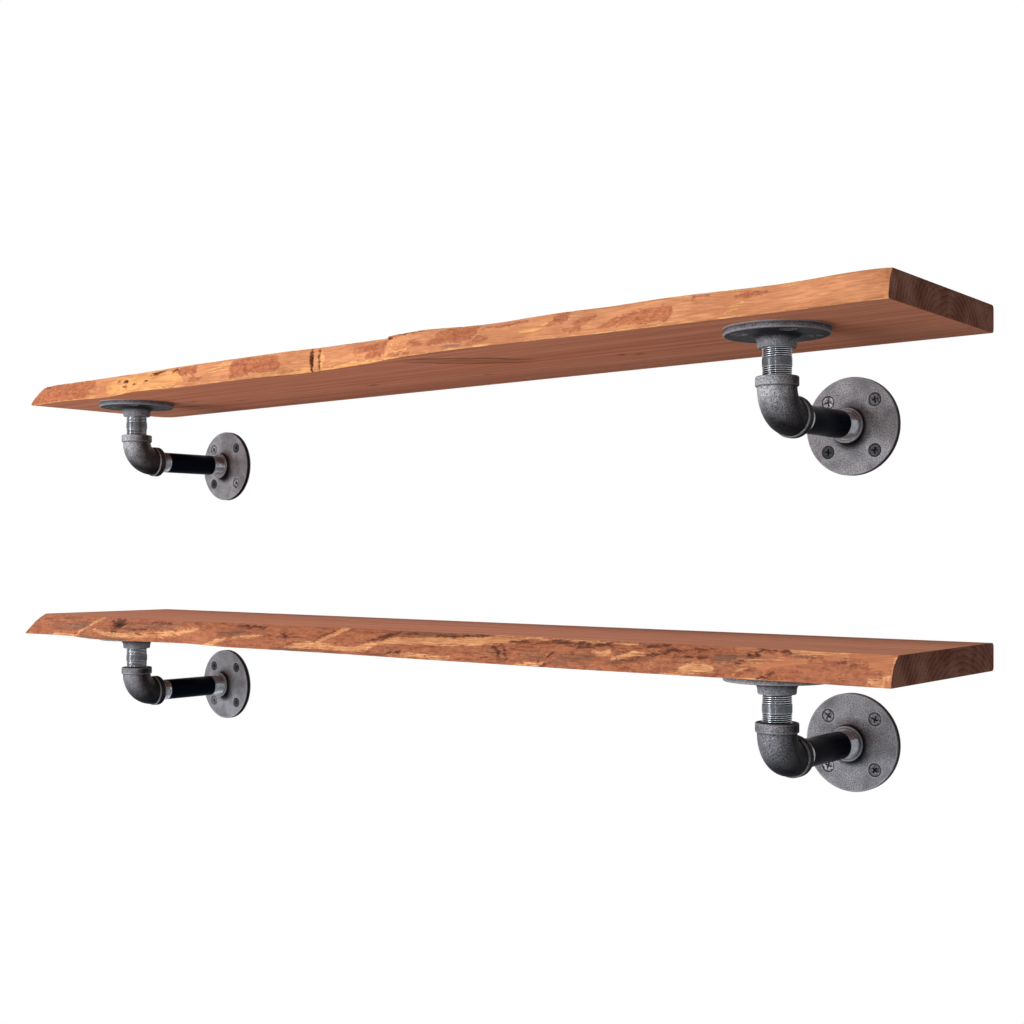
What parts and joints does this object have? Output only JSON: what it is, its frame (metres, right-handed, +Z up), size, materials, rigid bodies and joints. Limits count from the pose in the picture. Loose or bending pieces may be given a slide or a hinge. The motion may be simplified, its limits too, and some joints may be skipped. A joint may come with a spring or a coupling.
{
  "type": "live edge wall shelf set",
  "caption": "Wall shelves of waney-edged reddish wood boards on brackets of threaded black iron pipe, with round floor flanges screwed to the wall and under each board.",
  "frame": {"origin": "on the wall's surface, midway between the four wall flanges", "axes": "+X along the shelves to the right as seen from the room, +Y into the wall, +Z up"},
  "size_m": [1.219, 0.2615, 0.454],
  "materials": {
    "live_edge_wood": "planed and oiled reddish softwood, with the waney front edge left under its bark line",
    "cast_iron": "raw grey malleable-iron casting with a fine sandy skin",
    "black_pipe": "black steel pipe with a glossy lacquered mill skin and bright cut threads",
    "screw_steel": "dull dark-plated screw steel"
  },
  "bodies": {
    "root": {"upper_board": "live_edge_wood", "upper_left_wall_flange": "cast_iron", "upper_left_wall_screws": "screw_steel", "upper_left_arm_pipe": "black_pipe", "upper_left_elbow": "cast_iron", "upper_left_riser_pipe": "black_pipe", "upper_left_shelf_flange": "cast_iron", "upper_left_shelf_screws": "screw_steel", "upper_right_wall_flange": "cast_iron", "upper_right_wall_screws": "screw_steel", "upper_right_arm_pipe": "black_pipe", "upper_right_elbow": "cast_iron", "upper_right_riser_pipe": "black_pipe", "upper_right_shelf_flange": "cast_iron", "upper_right_shelf_screws": "screw_steel", "lower_board": "live_edge_wood", "lower_left_wall_flange": "cast_iron", "lower_left_wall_screws": "screw_steel", "lower_left_arm_pipe": "black_pipe", "lower_left_elbow": "cast_iron", "lower_left_riser_pipe": "black_pipe", "lower_left_shelf_flange": "cast_iron", "lower_left_shelf_screws": "screw_steel", "lower_right_wall_flange": "cast_iron", "lower_right_wall_screws": "screw_steel", "lower_right_arm_pipe": "black_pipe", "lower_right_elbow": "cast_iron", "lower_right_riser_pipe": "black_pipe", "lower_right_shelf_flange": "cast_iron", "lower_right_shelf_screws": "screw_steel"}
  },
  "joints": []
}
